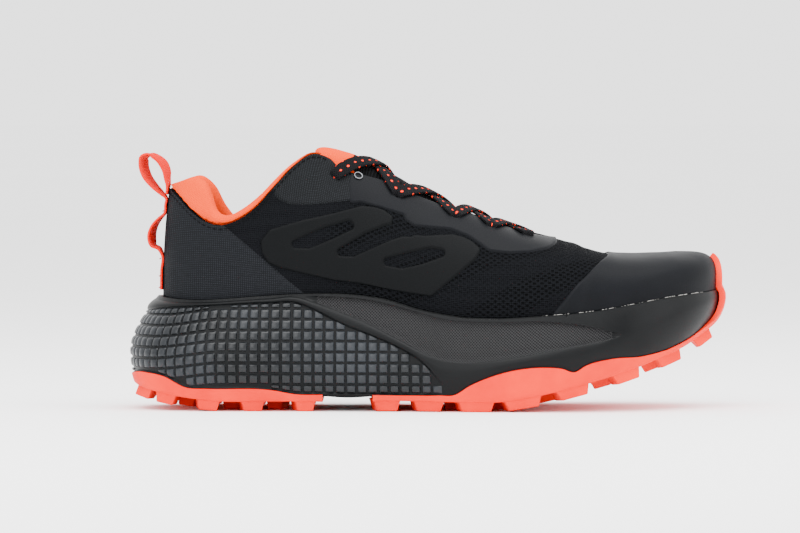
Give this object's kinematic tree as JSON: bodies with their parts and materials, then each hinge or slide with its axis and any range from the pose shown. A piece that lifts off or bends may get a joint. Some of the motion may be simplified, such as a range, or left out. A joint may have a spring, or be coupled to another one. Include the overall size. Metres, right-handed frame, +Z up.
{
  "type": "trail running shoe",
  "caption": "Low-cut trail running shoe for the right foot: dark mesh upper on a thick gridded foam midsole with a lugged rubber outsole, orange collar lining and a webbing pull loop.",
  "frame": {"origin": "on the ground plane under the middle of the shoe's bounding box", "axes": "+X from the heel to the toe, +Y towards the medial (inner) side, +Z up"},
  "size_m": [0.3018, 0.1138, 0.1318],
  "materials": {
    "foam": "moulded EVA foam, satin",
    "rubber": "coral rubber, matt",
    "mesh": "engineered mesh",
    "film": "thin fused film, satin",
    "lining": "padded knit lining",
    "tongue_textile": "ribbed textile",
    "webbing": "woven webbing",
    "lace": "flat braid with orange flecks",
    "footbed": "brushed textile over foam"
  },
  "bodies": {
    "root": {"midsole": "foam", "outsole_heel": "rubber", "outsole_forefoot": "rubber", "upper": "mesh", "insole": "footbed", "toe_cap": "film", "heel_counter": "film", "eyestay": "film", "support_panel_lateral": "film", "support_panel_medial": "film", "collar": "lining", "tongue": "tongue_textile", "pull_loop": "webbing", "lace_front": "lace", "lace_crossing_1": "lace", "lace_crossing_2": "lace", "lace_crossing_3": "lace", "lace_crossing_4": "lace"}
  },
  "joints": []
}
